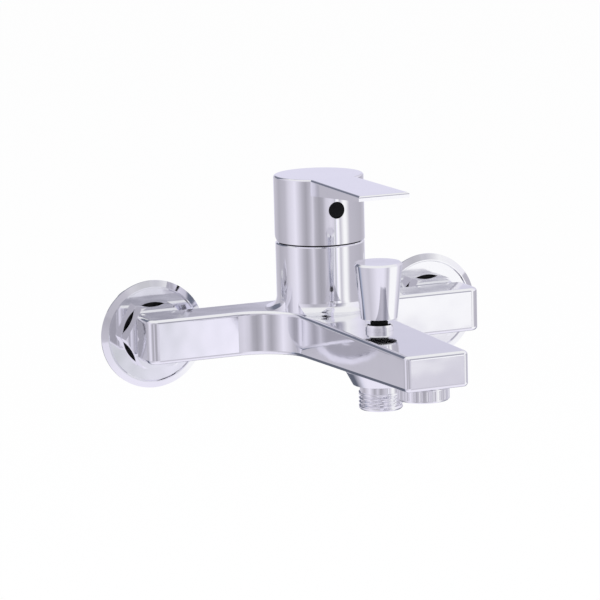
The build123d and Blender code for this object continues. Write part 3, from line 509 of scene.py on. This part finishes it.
# Level with the faucet: a panel on the left, a narrow one ahead and white ones on the right
STUDIO_LEVEL = studio(
    (-172, 0.78, VIOLET),
    (-158, 0.7, LILAC),
    (-142, 0.58, LILAC),
    (-125, 0.48, LILAC),
    (-97, 0.56, LILAC),
    (-84, 0.74, LILAC),
    (-64, 0.9, LILAC),
    (-43, 0.52, LILAC),
    (-34, 0.42, LILAC),
    (-26, 0.52, LILAC),
    (-17, 0.76, LILAC),
    (-10, 0.5, LILAC),
    (0, 0.4, LILAC),
    (9, 0.45, LILAC),
    (18, 0.7, LILAC),
    (30, 0.8, LILAC),
    (38, 0.72, LILAC),
    (40.3, 0.55, SKY),
    (41.7, 0.58, SKY),
    (42.5, 0.98, LILAC),
    (45, 1, LILAC),
    (46.4, 1.08, WHITE),
    (49, 1.08, WHITE),
    (54, 0.6, LILAC),
    (64.5, 1.04, WHITE),
    (71, 1.04, WHITE),
    (82, 0.56, LILAC),
    (130, 0.5, LILAC),
    (155, 0.6, LILAC),
    (172, 0.78, VIOLET),
)
# Above it: a dark corner behind on the left and a dim stretch ahead on the right
STUDIO_HIGH = studio(
    (-179.6, 0.66, VIOLET),
    (-178.9, 0.42, VIOLET),
    (-174, 0.42, VIOLET),
    (-160, 0.19, BLUE),
    (-132, 0.19, BLUE),
    (-118, 0.7, LILAC),
    (-60, 0.85, LILAC),
    (-20, 0.5, LILAC),
    (20, 0.6, LILAC),
    (34, 0.34, VIOLET),
    (43.5, 0.34, VIOLET),
    (46.5, 0.45, VIOLET),
    (52, 0.45, VIOLET),
    (70, 1, WHITE),
    (120, 0.9, LILAC),
    (165, 0.7, LILAC),
    (176, 0.68, VIOLET),
)
# Where each band begins to show over the one below it and shows fully, as the sine of its height
STUDIO_BANDS = [
    (-0.85, -0.6, STUDIO_LOW),
    (-0.27, -0.23, STUDIO_SILL),
    (-0.204, -0.199, STUDIO_LEVEL),
    (0.165, 0.185, STUDIO_HIGH),
    (0.55, 0.75, STUDIO_OVERHEAD),
]


def make_world():
    """White to the camera and a plain pale light elsewhere; polished metal sees the studio round it."""
    world = bpy.data.worlds.new("studio")
    bpy.context.scene.world = world
    world.use_nodes = True
    nodes, links = world.node_tree.nodes, world.node_tree.links
    coordinates = nodes.new("ShaderNodeTexCoord")
    parts = nodes.new("ShaderNodeSeparateXYZ")
    links.new(coordinates.outputs["Generated"], parts.inputs["Vector"])
    # Bearing round the faucet, straight in front in the middle of the ramp and the right after it
    forward = nodes.new("ShaderNodeMath")
    forward.operation = "MULTIPLY"
    forward.inputs[1].default_value = -1.0
    bearing = nodes.new("ShaderNodeMath")
    bearing.operation = "ARCTAN2"
    turns = nodes.new("ShaderNodeMapRange")
    turns.inputs["From Min"].default_value = -pi
    turns.inputs["From Max"].default_value = pi
    links.new(parts.outputs["Y"], forward.inputs[0])
    links.new(parts.outputs["X"], bearing.inputs[0])
    links.new(forward.outputs["Value"], bearing.inputs[1])
    links.new(bearing.outputs["Value"], turns.inputs["Value"])

    def band(stops):
        ramp = nodes.new("ShaderNodeValToRGB")
        fill_ramp(ramp.color_ramp, stops)
        links.new(turns.outputs["Result"], ramp.inputs["Fac"])
        return ramp.outputs["Color"]

    def mixed(factor, below, above):
        mix = nodes.new("ShaderNodeMix")
        mix.data_type = "RGBA"
        links.new(factor, mix.inputs["Factor"])
        for socket, colour in (("A", below), ("B", above)):
            if isinstance(colour, tuple):
                mix.inputs[socket].default_value = (*colour, 1)
            else:
                links.new(colour, mix.inputs[socket])
        return mix.outputs["Result"]

    surround = band(STUDIO_GROUND)
    for start, full, stops in STUDIO_BANDS:
        share = nodes.new("ShaderNodeMapRange")
        share.inputs["From Min"].default_value = start
        share.inputs["From Max"].default_value = full
        links.new(parts.outputs["Z"], share.inputs["Value"])
        surround = mixed(share.outputs["Result"], surround, band(stops))
    light_path = nodes.new("ShaderNodeLightPath")
    lit = mixed(light_path.outputs["Is Glossy Ray"], PLAIN_LIGHT, surround)
    shown = mixed(light_path.outputs["Is Camera Ray"], lit, WHITE)
    links.new(shown, nodes["Background"].inputs["Color"])


def add_lamp(name, place, size, power):
    """Soft square lamp that points at the faucet."""
    data = bpy.data.lights.new(name, "AREA")
    data.size = size
    data.energy = power
    lamp = bpy.data.objects.new(name, data)
    bpy.context.scene.collection.objects.link(lamp)
    lamp.location = place
    lamp.rotation_euler = (AIM_POINT - Vector(place)).to_track_quat("-Z", "Y").to_euler()
    lamp.visible_glossy = False


def make_lamps():
    """A soft key light from the left and a weaker fill from the right."""
    add_lamp("key", place=(-0.9, -1.2, 1.6), size=1.2, power=22)
    add_lamp("fill", place=(1.4, -0.9, 0.9), size=1.4, power=10)


# Camera


def make_camera():
    """Camera at the photograph's angle, distance and framing."""
    azimuth, elevation = CAMERA_AZIMUTH, CAMERA_ELEVATION
    ahead = Vector((sin(azimuth) * cos(elevation), cos(azimuth) * cos(elevation), -sin(elevation)))
    level = Vector((cos(azimuth), -sin(azimuth), 0))
    upright = level.cross(ahead)
    right = level * cos(CAMERA_ROLL) + upright * sin(CAMERA_ROLL)
    up = upright * cos(CAMERA_ROLL) - level * sin(CAMERA_ROLL)
    beside = (AIM_PIXEL[0] - AXIS_PIXEL[0]) / PIXELS_PER_METRE
    above = (AXIS_PIXEL[1] - AIM_PIXEL[1]) / PIXELS_PER_METRE
    data = bpy.data.cameras.new("camera")
    data.sensor_width = SENSOR_WIDTH
    data.lens = PIXELS_PER_METRE * CAMERA_DISTANCE / IMAGE_SIDE * SENSOR_WIDTH
    data.shift_x = (IMAGE_SIDE / 2 - AXIS_PIXEL[0]) / IMAGE_SIDE
    data.shift_y = (AXIS_PIXEL[1] - IMAGE_SIDE / 2) / IMAGE_SIDE
    data.clip_start = CLIP_START
    data.clip_end = CLIP_END
    camera = bpy.data.objects.new("camera", data)
    bpy.context.scene.collection.objects.link(camera)
    place = AIM_POINT - ahead * CAMERA_DISTANCE - right * beside - up * above
    axes = Matrix((right, up, -ahead)).transposed().to_4x4()
    camera.matrix_world = Matrix.Translation(place) @ axes
    bpy.context.scene.camera = camera


finish_cad_nodes()
# Painted shade: the dark casting in the knob's hollow, the dome cap's gap and the flange recesses
shade_knob_underside()
shade_dome_gap()
for side in ("left", "right"):
    shade_flange_recess(f"wall_flange_{side}")
make_nipple()
make_spring()
make_floor()
make_world()
make_lamps()
make_camera()
bpy.context.scene.view_settings.view_transform = "Standard"
